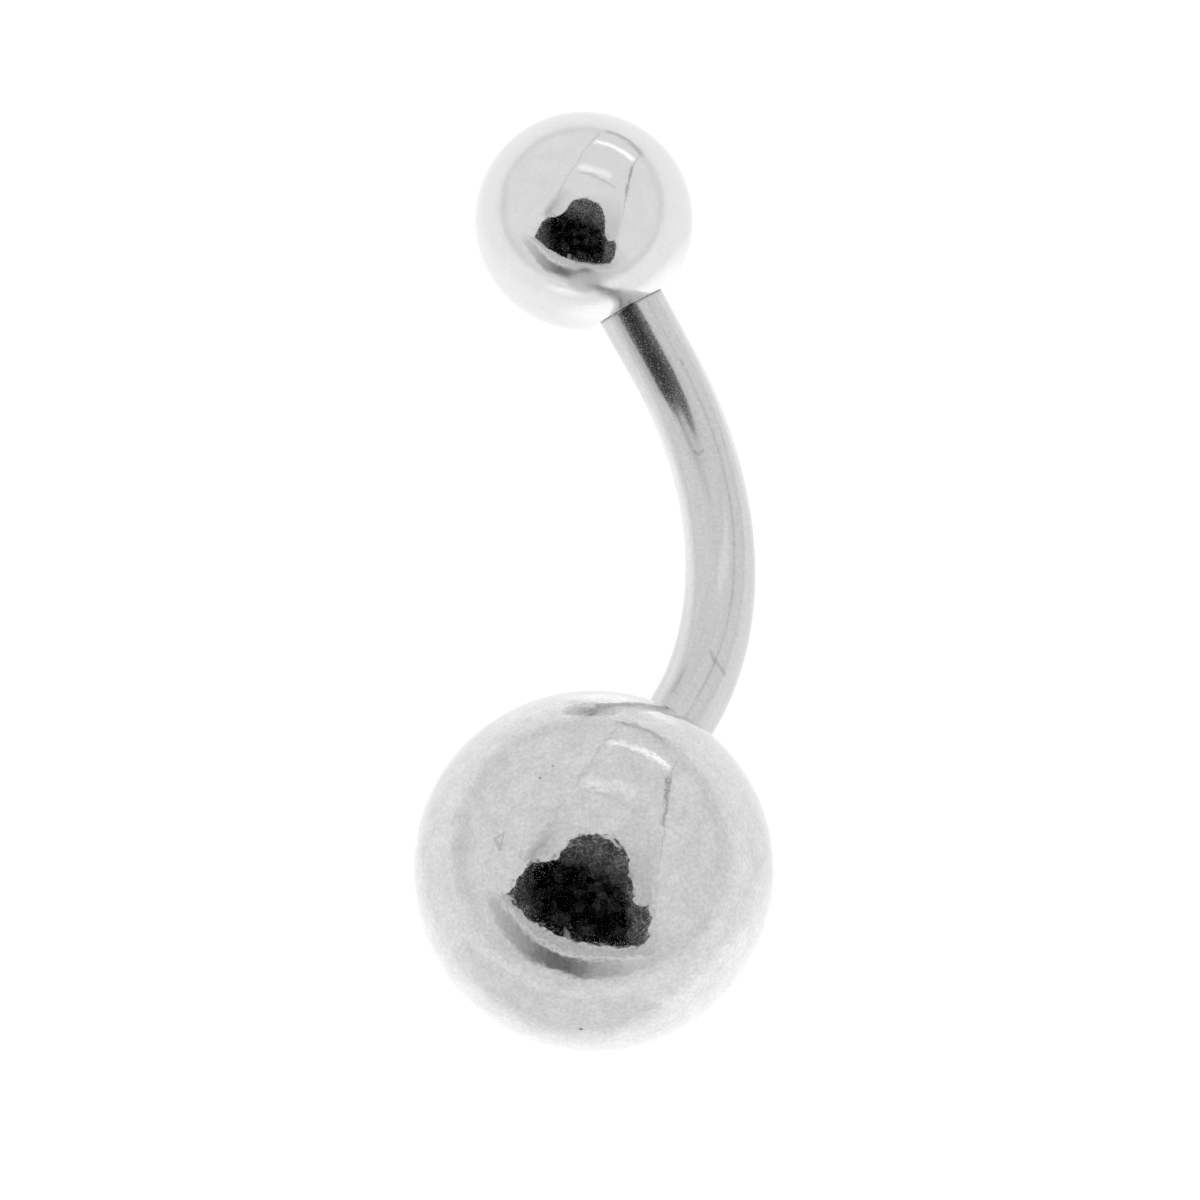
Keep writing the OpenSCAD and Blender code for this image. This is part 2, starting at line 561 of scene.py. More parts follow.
def on_ball(pixel, centre=large_centre, ball_r=large_r):
    """The point of a ball, in metres, that shows at a pixel counted from the top left."""
    span = SENSOR / LENS
    right = (pixel[0] / IMAGE_SIDE - 0.5) * span
    up = (0.5 - pixel[1] / IMAGE_SIDE) * span
    ray = (looking + image_right * right + image_up * up).normalized()
    to_ball = centre * MM - camera_place
    nearest = ray * to_ball.dot(ray)
    miss = (to_ball - nearest).length
    return camera_place + nearest - ray * math.sqrt((ball_r * MM) ** 2 - miss**2)


def on_small_ball(pixel):
    """The same for the small ball."""
    return on_ball(pixel, small_centre, small_r)


for label, (pixels, *_) in LARGE_MARKS.items():
    print(label, "at", [round(v / MM, 2) for v in on_ball(pixels[0])], "mm")

# %% Strokes for the marks
STROKE_CORE = 0.2
NO_LENGTH = 1e-12


def vector_maths(tree, operation, *values):
    """One Vector Math node. Its length, distance or dot product comes out as Value."""
    return add_node(tree, "ShaderNodeVectorMath", enumerate(values), operation=operation).outputs


def stroke(start, end, width, depth):
    """A mark from start to end: depth along its middle line, falling to 0 at its edges."""
    way = end - start

    def mark(tree, place):
        from_start = vector_maths(tree, "SUBTRACT", place, start)[0]
        per_length = way / max(way.length_squared, NO_LENGTH)
        along = vector_maths(tree, "DOT_PRODUCT", from_start, per_length)["Value"]
        held = {0: way, "Scale": fitted(tree, along, 0.0, 1.0)}
        nearest = result(tree, "ShaderNodeVectorMath", held, operation="SCALE")
        away = vector_maths(tree, "DISTANCE", from_start, nearest)["Value"]
        return fitted(tree, away, width * STROKE_CORE, width / 2, depth, 0.0)

    return mark


def strokes(marks, place_of, millimetre):
    """Every stretch of every mark. place_of lays its points, where a millimetre is this long."""
    made = []
    for points, width, depth in marks.values():
        places = [place_of(point) for point in points]
        ends = places[1:] or places
        wide = width * millimetre
        made += [stroke(start, end, wide, depth) for start, end in zip(places, ends)]
    return made


def strongest(tree, place, marks, ground=0.0):
    """The strongest mark at a place, or the ground where that is stronger."""
    for mark in marks:
        ground = maths(tree, "MAXIMUM", ground, mark(tree, place))
    return ground


# %% Polished steel for the balls
# Noise scales count the waves in a metre
PIT_SCALE = 28000.0
SPECK_SCALE = 12000.0
PEEL_SCALE = 4200.0
CLOUD_SCALE = 2400.0
SCRATCH_SCALE = 1300.0
PATCH_SCALE = 700.0
SCRATCHED_SHARE = 0.09
FINE_DARK = 0.3
LEAST_BLUR = 0.8
MOST_BLUR = 1.3
PIT_DULL = 0.15
MARK_SINK = 0.2


def ball_steel(name, tone, waviness, grain, blur, marks=(), dulled=()):
    """tone is the reflectance, waviness the orange peel's height in metres, blur the roughness."""
    material, tree, shader = shader_tree(name)
    place = add_node(tree, "ShaderNodeTexCoord").outputs["Object"]
    scratches = hairlines(tree, place, SCRATCH_SCALE, SCRATCHED_SHARE)
    pits = fitted(tree, noise(tree, place, PIT_SCALE, detail=1.0), 0.57, 0.67)
    specks = noise(tree, place, SPECK_SCALE, detail=3.0, roughness=0.6)
    clouds = noise(tree, place, CLOUD_SCALE, detail=3.0, roughness=0.6)
    speck = fitted(tree, specks, 0.25, 0.75, 1 - grain, 1 + grain)
    cloud = fitted(tree, clouds, 0.1, 0.9, 1 - grain, 1 + grain)
    shade = maths(tree, "MULTIPLY", maths(tree, "MULTIPLY", speck, cloud), tone)
    scored = strongest(tree, place, marks)
    fine = maths(tree, "MULTIPLY", maths(tree, "MAXIMUM", scratches, pits), grain * FINE_DARK)
    dark = maths(tree, "MAXIMUM", fine, scored)
    coloured(tree, shader, maths(tree, "MULTIPLY", shade, maths(tree, "SUBTRACT", 1.0, dark)))

    patches = noise(tree, place, PATCH_SCALE, detail=4.0, roughness=0.6)
    even = fitted(tree, patches, 0.35, 0.7, blur * LEAST_BLUR, blur * MOST_BLUR)
    dull = strongest(tree, place, dulled, ground=maths(tree, "MULTIPLY", pits, PIT_DULL))
    tree.links.new(maths(tree, "ADD", even, dull), shader.inputs["Roughness"])

    peel = noise(tree, place, PEEL_SCALE, detail=1.0)
    sunk = maths(tree, "MULTIPLY", scored, MARK_SINK)
    bumped(tree, shader, maths(tree, "SUBTRACT", peel, sunk), waviness)
    return material


large_steel = ball_steel(
    "polished_steel_worn",
    tone=0.66,
    waviness=0.005 * MM,
    grain=0.14,
    blur=0.055,
    marks=strokes(LARGE_MARKS, on_ball, MM),
    dulled=strokes(LARGE_DULL, on_ball, MM),
)
small_steel = ball_steel(
    "polished_steel_bright",
    tone=0.74,
    waviness=0.003 * MM,
    grain=0.035,
    blur=0.05,
    dulled=strokes(SMALL_DULL, on_small_ball, MM),
)
print("ball steels:", large_steel.name, small_steel.name)

# %% [markdown]
# The bar was polished lengthwise. Its lines run from end to end and follow the
# bend, so the pattern is made on the straight bar, from the attribute that the
# bending tree stored, and stretched about fourteen times along it. Lines as fine
# as these scatter a little of the light, like a haze, so the shader is a few
# hundredths short of all metal.
# Nobody polishes a thread, so the posts are left as cut: duller and a little
# darker than the bar. Down in the thread's root, shade is painted darker still.
# Wear has left a spot, a hook-shaped nick and a wider bent scratch on the bar.
# They are placed by their height along the straight bar and their angle round it.

# %% Place the marks on the bar
# The attribute counts in millimetres
DRAWN_MM = 1.0

# A mark's points, each (height, turn), its width in millimetres and how strong it is
BAR_MARKS = {
    "spot": ([(4.39, -104), (4.29, -104)], 0.1, 0.2),
    "hook": ([(2.21, -144), (2.10, -139), (2.16, -129)], 0.1, 0.2),
    "bent scratch": ([(-3.34, -116), (-3.52, -107), (-3.68, -81)], 0.15, 0.22),
}


def on_bar(point):
    """A point on the straight bar: mm up from its middle, degrees round from the bend's outside."""
    height, degrees = point
    turn = math.radians(degrees)
    return Vector((BAR_R * math.cos(turn), BAR_R * math.sin(turn), height))


bar_strokes = strokes(BAR_MARKS, on_bar, DRAWN_MM)
print("marks on the bar:", ", ".join(BAR_MARKS))

# %% Drawn and polished steel for the bar
# Here the scales count the waves in a millimetre, as the attribute does
LINE_STRETCH = (1.0, 1.0, 0.07)
LINE_HAZE = 0.05
LINE_SCALE = 6.0
BAR_TONE = 0.635
BAR_PIT_SCALE = 30.0
BAR_PIT_DULL = 0.18
BAR_SPECK_SCALE = 12.0
BAR_SCRATCH_SCALE = 1.6
BAR_SCRATCHED_SHARE = 0.08
BAR_SCRATCH_DARK = 0.12
WAVE_SCALE = 3.0
WAVE_HEIGHT = 0.004 * MM
LINE_RISE = 0.5
POST_MARGIN = 0.01
POST_DARK = 0.15
ROOT_PAINTED_SHADE = 0.35
POST_DULL = 0.15


def post_cut_and_root_shade(tree, from_axis, on_post):
    """How much darker the posts are as cut, plus the painted shade in the thread's root."""
    # Painted shade: the thread's root is darkened where shade falls in it
    deep = fitted(tree, from_axis, root_r, THREAD_R, 1.0, 0.0)
    cut_and_root_shade = maths(tree, "ADD", POST_DARK, maths(tree, "MULTIPLY", deep, ROOT_PAINTED_SHADE))
    return maths(tree, "MULTIPLY", on_post, cut_and_root_shade)


def bar_steel(name):
    """Fine lengthwise polish lines over a duller mirror."""
    material, tree, shader = shader_tree(name)
    shader.inputs["Metallic"].default_value = 1 - LINE_HAZE
    place = add_node(tree, "ShaderNodeAttribute", attribute_name="drawn_at").outputs["Vector"]
    lines_at = result(tree, "ShaderNodeMapping", {"Vector": place, "Scale": LINE_STRETCH})
    lines = noise(tree, lines_at, LINE_SCALE, detail=5.0, roughness=0.7)
    streak = fitted(tree, lines, 0.3, 0.7, 0.94, 1.05)
    specks = noise(tree, place, BAR_SPECK_SCALE, detail=3.0)
    shade = maths(tree, "MULTIPLY", streak, fitted(tree, specks, 0.3, 0.7, 0.94, 1.06))
    scratches = hairlines(tree, lines_at, BAR_SCRATCH_SCALE, BAR_SCRATCHED_SHARE)
    scratched = maths(tree, "MULTIPLY", scratches, BAR_SCRATCH_DARK)
    dark = strongest(tree, place, bar_strokes, ground=scratched)
    clean = maths(tree, "MULTIPLY", maths(tree, "SUBTRACT", 1.0, dark), BAR_TONE)
    shade = maths(tree, "MULTIPLY", shade, clean)

    axes = split(tree, place)
    from_axis = vector_maths(tree, "LENGTH", joined(tree, X=axes["X"], Y=axes["Y"]))["Value"]
    on_post = maths(tree, "LESS_THAN", from_axis, THREAD_R + POST_MARGIN)
    left = maths(tree, "SUBTRACT", 1.0, post_cut_and_root_shade(tree, from_axis, on_post))
    coloured(tree, shader, maths(tree, "MULTIPLY", shade, left))

    pits = fitted(tree, noise(tree, place, BAR_PIT_SCALE, detail=1.0), 0.54, 0.64)
    pitted = maths(tree, "MULTIPLY", pits, BAR_PIT_DULL)
    dull = maths(tree, "ADD", pitted, maths(tree, "MULTIPLY", on_post, POST_DULL))
    even = fitted(tree, lines, 0.35, 0.7, 0.12, 0.2)
    tree.links.new(maths(tree, "ADD", even, dull), shader.inputs["Roughness"])

    waves = noise(tree, lines_at, WAVE_SCALE)
    height = maths(tree, "ADD", maths(tree, "MULTIPLY", lines, LINE_RISE), waves)
    bumped(tree, shader, height, WAVE_HEIGHT)
    return material


drawn_steel = bar_steel("drawn_bar_steel")
print("bar steel:", drawn_steel.name)

# %% [markdown]
# Now the bar itself: the straight turned piece, a thread on each post, and the
# bend. The lower post is the upper one turned over, so its thread is the same
# ridge, turned half round about X.

# %% Thread and bend the bar
CREST_WIDTH = THREAD_PITCH / 8
FLANK = math.tan(math.radians(30))

post_thread = {
    "Turns": float(THREAD_TURNS),
    "Pitch": THREAD_PITCH,
    "Start_Height": thread_start,
    "Root_Radius": root_r,
    "Crest_Radius": THREAD_R,
    "Root_Width": CREST_WIDTH + 2 * THREAD_DEPTH * FLANK,
    "Crest_Width": CREST_WIDTH,
}
thread = thread_tree()
bending = bending_tree()
bar = new_piece("bent_bar", straight_bar)
use_tree(bar, thread, drawn_steel, **post_thread)
use_tree(bar, thread, drawn_steel, **post_thread, Turn_Over=(math.pi, 0.0, 0.0))
use_tree(bar, bending, drawn_steel, Bend_Radius=bend_r, Bend_Angle=bend_angle)
settle(bar, bend_middle, (bulge_way, bar_way.cross(bulge_way), bar_way))

# %% [markdown]
# Each ball is a turned sphere. A flat is faced on it, where it meets the bar's
# shoulder, and a hole is drilled from the flat, with the drill's cone at its
# bottom and a small countersink at its mouth, and then tapped.
# The tap's ridge fills the gaps of the post's, half a pitch further on, so the
# two threads mesh without touching when the ball is home.

# %% Turn and tap the balls
RIM_BREAK = 0.02
MOUTH_BREAK = 0.06
HOLE_R = 0.63
HOLE_DEPTH = 3.2
TAP_R = 0.51
TAP_TURNS = 10
TAP_PLAY = 0.02
WIDEST_ROOT = 0.98
DRILL_POINT = math.radians(118)
BALL_SIDES = 224
BALL_STEPS = 112


def ball_outline(ball_r):
    """From the pole, round the sphere to its flat, and up the hole to the drill's point."""
    face = face_height(ball_r)
    low = math.atan2(face, FACE_D / 2 + RIM_BREAK / 2)
    sweep = math.pi / 2 + low
    turns = [math.pi / 2 - sweep * step / BALL_STEPS for step in range(1, BALL_STEPS + 1)]
    return [
        (0, ball_r),
        *((ball_r * math.cos(turn), ball_r * math.sin(turn)) for turn in turns),
        (FACE_D / 2 - RIM_BREAK / 2, -face),
        (HOLE_R + MOUTH_BREAK, -face),
        (HOLE_R, -face + MOUTH_BREAK),
        (HOLE_R, -face + HOLE_DEPTH),
        (0, -face + HOLE_DEPTH + HOLE_R / math.tan(DRILL_POINT / 2)),
    ]


def make_ball(name, node, centre, ball_r, material):
    """Turns a ball, taps its hole in step with the post, and lays it in its place."""
    ball = new_piece(name, turned_mesh(name, ball_outline(ball_r), BALL_SIDES))
    shoulder_at = -face_height(ball_r) - SEAM
    free_at_wall = THREAD_PITCH - CREST_WIDTH - 2 * (THREAD_R - HOLE_R) * FLANK
    free_at_tap = THREAD_PITCH - CREST_WIDTH - 2 * (THREAD_R - TAP_R) * FLANK
    use_tree(
        ball,
        thread,
        material,
        Turns=float(TAP_TURNS),
        Pitch=THREAD_PITCH,
        Start_Height=shoulder_at + NECK + THREAD_PITCH / 2,
        Root_Radius=HOLE_R,
        Crest_Radius=TAP_R,
        Root_Width=min(free_at_wall, THREAD_PITCH * WIDEST_ROOT) - 2 * TAP_PLAY,
        Crest_Width=free_at_tap - 2 * TAP_PLAY,
    )
    off = way_off[node]
    outward = (bulge_way - off * bulge_way.dot(off)).normalized()
    return settle(ball, centre, (outward, off.cross(outward), off))


large_ball = make_ball("lower_ball", "large_ball", large_centre, large_r, large_steel)
small_ball = make_ball("upper_ball", "small_ball", small_centre, small_r, small_steel)

# %% [markdown]
# The floor is white acrylic with a painted glow of its own, so that the steel
# throws no hard shadow on it. Most of its light is that glow, which fades a little
# away from the middle, and a little is what falls on it, so it still darkens
# softly where the steel touches it. Three pools of painted light are added to the
# glow: in front of each ball, whose rim is palest there, and beside the small ball's joint.

# %% Lay the floor with its painted glow
FLOOR_SIDE = 3.0
ACRYLIC_GREY = 0.2
ACRYLIC_ROUGHNESS = 0.8
GLOW_NEAR = 0.87
GLOW_FAR = 0.70
GLOW_NEAR_R = 20 * MM
GLOW_FAR_R = 80 * MM

# A pool of painted light's ends and its width in millimetres, and how much glow it adds
PAINTED_LIGHT_POOLS = {
    "before the large ball": ([(6, -12, 0), (-4, -8.5, 0)], 13, 0.2),
    "before the small ball": ([(-3, 6, 0), (-2, 6.5, 0)], 14, 0.08),
    "beside the small ball's joint": ([(1.5, 3.5, 0), (3.4, 5.8, 0)], 7, 0.22),
}


def pool_end(end):
    """A painted light pool's end in metres."""
    return Vector(end) * MM


def acrylic_with_painted_glow():
    """White acrylic with a painted glow, most over its pools of painted light, and less far away.
    """
    material = bpy.data.materials.new("lit_acrylic")
    material.use_nodes = True
    tree = material.node_tree
    shader = tree.nodes["Principled BSDF"]
    shader.inputs["Base Color"].default_value = (ACRYLIC_GREY, ACRYLIC_GREY, ACRYLIC_GREY, 1)
    shader.inputs["Roughness"].default_value = ACRYLIC_ROUGHNESS
    shader.inputs["Specular IOR Level"].default_value = 0.0
    shader.inputs["Emission Color"].default_value = (1, 1, 1, 1)
    place = add_node(tree, "ShaderNodeTexCoord").outputs["Object"]
    away = vector_maths(tree, "LENGTH", place)["Value"]
    glow = fitted(tree, away, GLOW_NEAR_R, GLOW_FAR_R, GLOW_NEAR, GLOW_FAR)
    # Each pool adds painted light to the floor's glow
    for pool in strokes(PAINTED_LIGHT_POOLS, pool_end, MM):
        glow = maths(tree, "ADD", glow, pool(tree, place))
    tree.links.new(glow, shader.inputs["Emission Strength"])
    material.cycles.emission_sampling = "NONE"
    return material


def flat_mesh(name, corners, faces):
    """A mesh of the given corners and faces."""
    mesh = bpy.data.meshes.new(name)
    mesh.from_pydata(corners, [], faces)
    return mesh


half = FLOOR_SIDE / 2
floor_corners = [(-half, -half, 0), (half, -half, 0), (half, half, 0), (-half, half, 0)]
floor = new_piece("floor", flat_mesh("floor", floor_corners, [(0, 1, 2, 3)]))
floor.data.materials.append(acrylic_with_painted_glow())
floor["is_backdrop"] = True
# The lamps printed here are pools of painted light in the floor's glow
print("floor", FLOOR_SIDE, "m wide, lamps", ", ".join(PAINTED_LIGHT_POOLS))

# %% [markdown]
# A mirror shows the room and not itself, so most of this picture is the studio.
# Small things are photographed in a white tent, which is the pale world here. A
# dark card gives the mirror its contrast, and throws a soft shade on the cloth
# beside it. The cloth is a pale front flap with seams, a crease and a fold, and
# two thin tubes of light lie along it. Low in front is a dark gap under the
# flap's lip, and a pale grey sheet lies flat on the floor there: painted shade
# that the balls see on the floor in front.
# Each of them is a sheet bent to a dome round the jewellery, but for the one on
# the floor. A place on the dome is given in degrees from straight up, first
# towards +X and then towards +Y, which is how a chart of the sky is drawn. The
# sheets show in reflections only, and fade at their edges.

# %% Lines on the dome
TENT_R = 170 * MM
STUDIO_MIDDLE = Vector((0, 0.8, 3.2)) * MM
LINE_POINTS = 60
LINE_STEPS = 12


def on_dome(east, north, reach):
    """The point of the dome at these degrees from straight up."""
    away = math.hypot(east, north)
    tilt = math.radians(away)
    flat = math.sin(tilt) / away if away else 0
    return STUDIO_MIDDLE + reach * Vector((east * flat, north * flat, math.cos(tilt)))


def on_floor(x, y, rise):
    """The point over these millimetres of the floor, this far above it."""
    return Vector((x * MM, y * MM, rise))


def smooth_line(points):
    """A Catmull-Rom curve through the points, cut into equal lengths."""
    ends = [Vector(point) for point in (points[0], *points, points[-1])]
    fine = []
    for before, start, end, after in zip(ends, ends[1:], ends[2:], ends[3:]):
        for step in range(LINE_STEPS):
            t = step / LINE_STEPS
            curve = 2 * start + (end - before) * t
            curve += (2 * before - 5 * start + 4 * end - after) * t**2
            curve += (3 * start - before - 3 * end + after) * t**3
            fine.append(curve / 2)
    fine.append(ends[-1])
    travelled = [0.0]
    for near, far in zip(fine, fine[1:]):
        travelled.append(travelled[-1] + (far - near).length)
    line = []
    at = 0
    for number in range(LINE_POINTS):
        wanted = travelled[-1] * number / (LINE_POINTS - 1)
        while at < len(fine) - 2 and travelled[at + 1] < wanted:
            at += 1
        share = (wanted - travelled[at]) / (travelled[at + 1] - travelled[at])
        line.append(fine[at].lerp(fine[at + 1], share))
    return line


# %% Sheets and strips that only reflections see
FADE_PER_END = 8
SHEET_ACROSS = 16
STRIP_ACROSS = 4


def sheet(name, one_edge, other_edge, reach, material, across=SHEET_ACROSS, put=on_dome):
    """Stretches a sheet between two edges. Its attribute inside grows from 0 at them to 1."""
    places = [
        put(*one.lerp(other, step / across), reach)
        for one, other in zip(one_edge, other_edge)
        for step in range(across + 1)
    ]
    row = across + 1
    faces = [
        (start + step, start + step + 1, start + step + 1 + row, start + step + row)
        for start in range(0, len(places) - row, row)
        for step in range(across)
    ]
    hung = new_piece(name, flat_mesh(name, places, faces))
    last = len(one_edge) - 1
    inside = [
        min(1.0, 2 * min(step, across - step) / across, FADE_PER_END * min(at, last - at) / last)
        for at in range(last + 1)
        for step in range(across + 1)
    ]
    hung.data.attributes.new("inside", "FLOAT", "POINT").data.foreach_set("value", inside)
    hung.data.materials.append(material)
    hung.visible_camera = False
    hung.visible_diffuse = False
    hung.visible_shadow = False
    hung.visible_transmission = False
    hung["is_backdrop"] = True
    return hung


def strip(name, points, width, reach, material):
    """A strip of this width, in degrees, along a line."""
    line = smooth_line(points)
    neighbours = zip(line[:1] + line, line[1:] + line[-1:])
    ways = [(after - before).normalized() for before, after in neighbours]
    sides = [Vector((-way.y, way.x)) * width / 2 for way in ways]
    one_edge = [place + side for place, side in zip(line, sides)]
    other_edge = [place - side for place, side in zip(line, sides)]
    return sheet(name, one_edge, other_edge, reach, material, across=STRIP_ACROSS)


# %% Light for the sheets
def glowing(name, strength, soft):
    """Gives off this light, a number or a function of the tree. soft is the share that fades."""
    material = bpy.data.materials.new(name)
    material.use_nodes = True
    tree = material.node_tree
    tree.nodes.clear()
    amount = strength(tree) if callable(strength) else strength
    light = result(tree, "ShaderNodeEmission", {"Strength": amount})
    clear = result(tree, "ShaderNodeBsdfTransparent")
    material.cycles.emission_sampling = "NONE"
    inside = add_node(tree, "ShaderNodeAttribute", attribute_name="inside").outputs["Fac"]
    cover = fitted(tree, inside, 0.0, soft)
    faded = result(tree, "ShaderNodeMixShader", {0: cover, 1: clear, 2: light})
    add_node(tree, "ShaderNodeOutputMaterial", {"Surface": faded})
    return material


def shaded_at(tree):
    """X, Y and Z of the place that is being shaded, in metres."""
    return split(tree, add_node(tree, "ShaderNodeTexCoord").outputs["Object"])


# %% Hang the dark card
CARD_TOP = [
    (-56, -27.5), (-49, -21.5), (-44.5, -17.5), (-40, -14), (-35, -11.2), (-28, -11.9),
    (-21, -10.2), (-14.5, -5), (-9, 1.2), (-2, 3.6), (4, 3.8), (10, 1.8), (15.5, -0.8),
    (21.2, -5.8), (24.2, -13), (24.6, -21), (24.6, -29), (25.5, -36), (28.5, -41), (38.5, -40.5),
]
CARD_FOOT = [
    (-56, -27.5), (-51, -33.5), (-45, -42.8), (-37, -49.8), (-31, -53.5), (-22, -60), (-12, -63.8),
    (-2, -66.6), (12, -68.4), (24, -68.6), (34.5, -66.3), (39.2, -58.5), (39.4, -49.5),
    (38.5, -40.5),
]
PALE_TUFT = {"tuft": ([(-16.5, -56), (-17.5, -61)], 13, 0.25)}
CARD_SLANT = 0.5
BLOTCH_SCALE = 45.0
BLOTCH_SPREAD = 0.2
FLUFF_SCALE = 280.0
PALEST_GROUND = 0.045
DARK_FLUFF = 0.003
PALEST_FLUFF = 0.34


def on_card(point):
    """A point of the card, from its degrees."""
    return on_dome(*point, TENT_R)


def mottled(tree):
    """Near black felt with pale fluff, paler at its top and at both its ends."""
    place = add_node(tree, "ShaderNodeTexCoord").outputs["Object"]
    axes = split(tree, place)
    slant = maths(tree, "ADD", axes["Y"], maths(tree, "MULTIPLY", axes["X"], CARD_SLANT))
    top = fitted(tree, slant, -68 * MM, -18 * MM)
    left = fitted(tree, axes["X"], -130 * MM, -92 * MM, 0.9, 0.0)
    right = fitted(tree, axes["X"], 53 * MM, 77 * MM)
    # Paler at the card's top and at both its ends
    paleness = maths(tree, "MAXIMUM", top, maths(tree, "MAXIMUM", left, right))
    blotches = noise(tree, place, BLOTCH_SCALE)
    blotch = fitted(tree, blotches, 0.35, 0.65, -BLOTCH_SPREAD, BLOTCH_SPREAD)
    paleness = maths(tree, "ADD", paleness, blotch)
    ground = fitted(tree, paleness, 0.0, 1.0, 0.0, PALEST_GROUND)
    ground = strongest(tree, place, strokes(PALE_TUFT, on_card, MM), ground)
    fluff = fitted(tree, noise(tree, place, FLUFF_SCALE, roughness=0.8), 0.5, 0.64)
    fluff_light = fitted(tree, paleness, 0.0, 1.0, DARK_FLUFF, PALEST_FLUFF)
    return maths(tree, "ADD", ground, maths(tree, "MULTIPLY", fluff, fluff_light))


felt = glowing("dark_felt", mottled, soft=0.04)
sheet("dark_card", smooth_line(CARD_TOP), smooth_line(CARD_FOOT), TENT_R, felt)
print("dark card hung", round(TENT_R / MM), "mm away")

# %% Hang the front flap
# Each layer hangs a little behind the one that covers it
SHADE_R = TENT_R * 1.03
TUBE_R = TENT_R * 1.04
CREASE_R = TENT_R * 1.045
SEAM_R = TENT_R * 1.05
FLAP_R = TENT_R * 1.06
LIP_R = TENT_R * 1.07
TOP_SEAM_R = 45 * MM

FLAP_LEFT = [(17, 91), (14, 80), (4, 60), (-4, 43), (-14, 26), (-25, 6), (-33, -10), (-36, -32)]
FLAP_RIGHT = [(56, 70), (52, 57), (48.5, 37), (47, 17), (44, -14), (41, -52)]


def flap_cloth(tree):
    """Pale cloth with painted shade, greyer down by the dark card."""
    return fitted(tree, shaded_at(tree)["Y"], -60 * MM, 30 * MM, 0.74, 0.91)


cloth = glowing("flap_cloth", flap_cloth, soft=0.1)
sheet("front_flap", smooth_line(FLAP_LEFT), smooth_line(FLAP_RIGHT), FLAP_R, cloth)
print("flap hung", round(FLAP_R / MM), "mm away")

# %% Sew the flap and hang its tubes of light
FLAP_TOP = [(16, 88.5), (26, 88), (36, 84.5), (46, 77.5), (52, 70)]
FLAP_CREASE = [(49.5, 50), (48.5, 37), (47, 17), (46, 10)]
FLAP_FOLD = [(-5, 33.5), (8, 29.7), (20, 24.5), (36, 16.5)]
CARD_SHADE = [(-40, -12), (-32, -4), (-25, 2), (-17, 9), (-10, 13)]
UPPER_TUBE = [(10.5, 71), (25.5, 68.5), (38, 64), (51.5, 56)]
LOWER_TUBE = [(-3.5, 37.5), (9, 36), (22, 32), (31, 28.5)]


def seam_shade(tree):
    """The right seam, whose thread stands out less lower down."""
    return fitted(tree, shaded_at(tree)["Y"], -50 * MM, 35 * MM, 0.74, 0.6)


def card_shade(tree):
    """The shade that the card throws on the cloth beside it, deepest low down."""
    return fitted(tree, shaded_at(tree)["X"], -95 * MM, -50 * MM, 0.55, 0.8)


# A strip's line, its width in degrees, its distance, and its light's name, strength and softness
STRIPS = {
    "flap_left_seam": (FLAP_LEFT, 2.0, SEAM_R, "left_seam_shade", 0.72, 0.9),
    "flap_right_seam": (FLAP_RIGHT, 2.0, SEAM_R, "right_seam_shade", seam_shade, 0.9),
    "flap_crease": (FLAP_CREASE, 4.6, CREASE_R, "crease_shade", 0.46, 0.9),
    "flap_top_seam": (FLAP_TOP, 8.0, TOP_SEAM_R, "top_shade", 0.6, 0.9),
    "flap_fold": (FLAP_FOLD, 4.8, CREASE_R, "fold_shade", 0.71, 0.9),
    "card_shade": (CARD_SHADE, 16.0, SHADE_R, "card_shade_grey", card_shade, 0.9),
    "upper_tube": (UPPER_TUBE, 8.0, TUBE_R, "tube_light", 1.5, 0.95),
    "lower_tube": (LOWER_TUBE, 12.0, TUBE_R, "soft_tube_light", 1.18, 0.95),
}
for name, (points, width, reach, light, strength, soft) in STRIPS.items():
    strip(name, points, width, reach, glowing(light, strength, soft))
print("strips hung:", ", ".join(STRIPS))

# %% Leave the dark gap under the lip
GAP_TOP = [
    (-66, -22), (-55, -37), (-46.5, -49), (-38.5, -58), (-25.5, -66.5),
    (-13.5, -72), (0, -74), (20, -75), (35, -74), (50, -70), (65, -62),
]
GAP_FOOT = [
    (-74, -21), (-69, -40), (-57, -65), (-42, -76.5), (-24.5, -84.5),
    (-9, -90.5), (10, -90.5), (30, -87), (51, -77), (66, -65),
]
GAP_DARKEST = 0.19


def gap_dark(tree):
    """The room beyond the tent, darkest a little left of the middle of the gap."""
    across = shaded_at(tree)["X"]
    to_left = fitted(tree, across, -160 * MM, -72 * MM, 0.72, GAP_DARKEST)
    to_right = fitted(tree, across, -40 * MM, 15 * MM, GAP_DARKEST, 0.56)
    right_end = fitted(tree, across, 15 * MM, 90 * MM, 0.0, 0.24)
    return maths(tree, "ADD", maths(tree, "MAXIMUM", to_left, to_right), right_end)


def lip_shade(tree):
    """The lip in its own shade, paler where it ends at the right."""
    return fitted(tree, shaded_at(tree)["X"], 75 * MM, 110 * MM, 0.65, 0.86)


room = glowing("room_beyond", gap_dark, soft=0.45)
sheet("front_gap", smooth_line(GAP_TOP), smooth_line(GAP_FOOT), FLAP_R, room)
lip = glowing("lip_shade", lip_shade, soft=0.2)
sheet("front_lip", smooth_line(CARD_FOOT), smooth_line(GAP_TOP), LIP_R, lip)
print("gap left under the lip")

# %% Shade the floor in front
SHADE_NEAR = [(-17, -13), (-8.6, -12.2), (0, -13.5), (5, -16)]
SHADE_FAR = [(-22, -28), (-10, -31), (0, -33), (8, -30)]
SHADE_RISE = 0.1 * MM
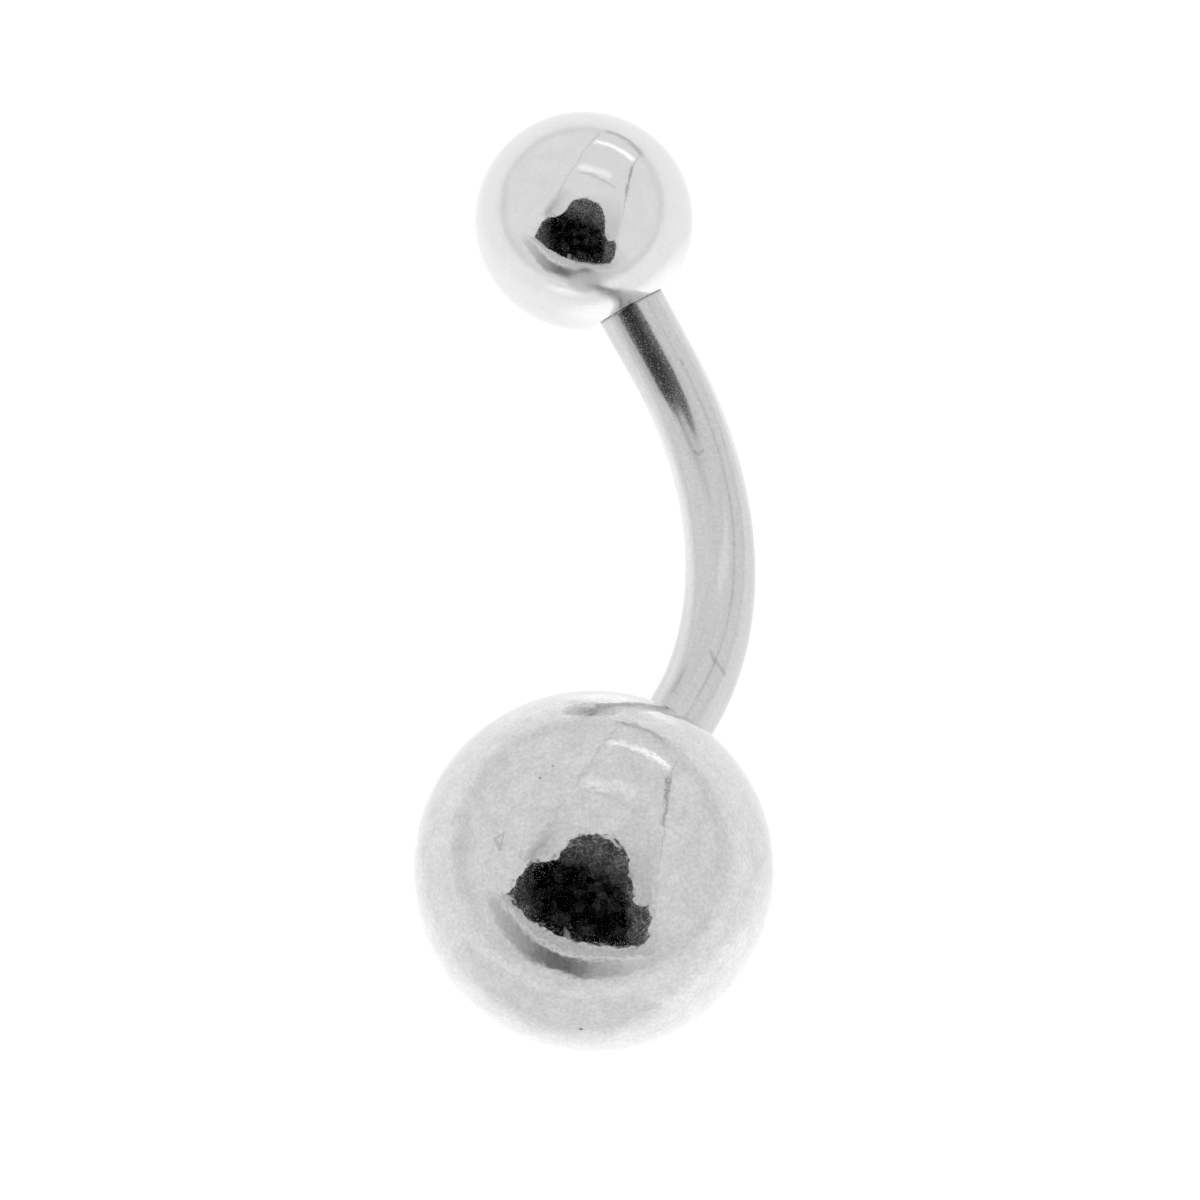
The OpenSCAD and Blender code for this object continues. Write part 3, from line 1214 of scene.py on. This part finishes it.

# Painted shade: a grey sheet on the floor in front, seen only in reflections
painted_front_shade = glowing("front_shade_grey", 0.92, soft=0.3)
shade_edges = smooth_line(SHADE_NEAR), smooth_line(SHADE_FAR)
sheet("front_shade", *shade_edges, SHADE_RISE, painted_front_shade, put=on_floor)
print("floor shaded in front")

# %% [markdown]
# The tent itself is the world: white cloth lit from outside. It is a little
# darker low down, where its walls meet the table. The cloth hangs in soft folds,
# which make its light uneven and its foot line wavy.

# %% Light the tent
TENT_TOP = 0.93
TENT_FOOT = 0.85
FOOT_HEIGHT = 0.15
FOLD_RISE = 0.16
FOLD_SCALE = 3.0
FOLD_DARK = 0.97
FOLD_LIGHT = 1.025

world = bpy.data.worlds.new("tent")
bpy.context.scene.world = world
world.use_nodes = True
world.cycles.sampling_method = "NONE"
tent = world.node_tree
sky_way = add_node(tent, "ShaderNodeTexCoord").outputs["Generated"]
rise = split(tent, sky_way)["Z"]
folds = noise(tent, sky_way, FOLD_SCALE, detail=3.0, roughness=0.6)
foot_line = maths(tent, "MULTIPLY", maths(tent, "SUBTRACT", folds, 0.5), FOLD_RISE)
wall = fitted(tent, maths(tent, "ADD", rise, foot_line), 0.0, FOOT_HEIGHT, TENT_FOOT, TENT_TOP)
uneven = fitted(tent, folds, 0.3, 0.7, FOLD_DARK, FOLD_LIGHT)
background = tent.nodes["Background"]
background.inputs["Color"].default_value = (1, 1, 1, 1)
tent.links.new(maths(tent, "MULTIPLY", wall, uneven), background.inputs["Strength"])
bpy.context.scene.view_settings.view_transform = "Standard"
print("tent lit at", TENT_TOP)

# %% [markdown]
# Last, each mesh is joined to the body it moves with, and the solid it stands for
# is hidden. When a ball is unscrewed, its mesh slides off along the post with it.

# %% Join the meshes to the bodies
for piece, body, node, finish in [
    (bar, "bar", "curved_bar", "bar_steel"),
    (small_ball, "small_ball", "small_ball", "ball_steel"),
    (large_ball, "large_ball", "large_ball", "ball_steel"),
]:
    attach(piece, body)
    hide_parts(node)

# %% Measure and finish
picture_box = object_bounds()
for label, box in (("solids", solids_box), ("picture", picture_box)):
    print(label, [[round(v / MM, 3) for v in corner] for corner in box])
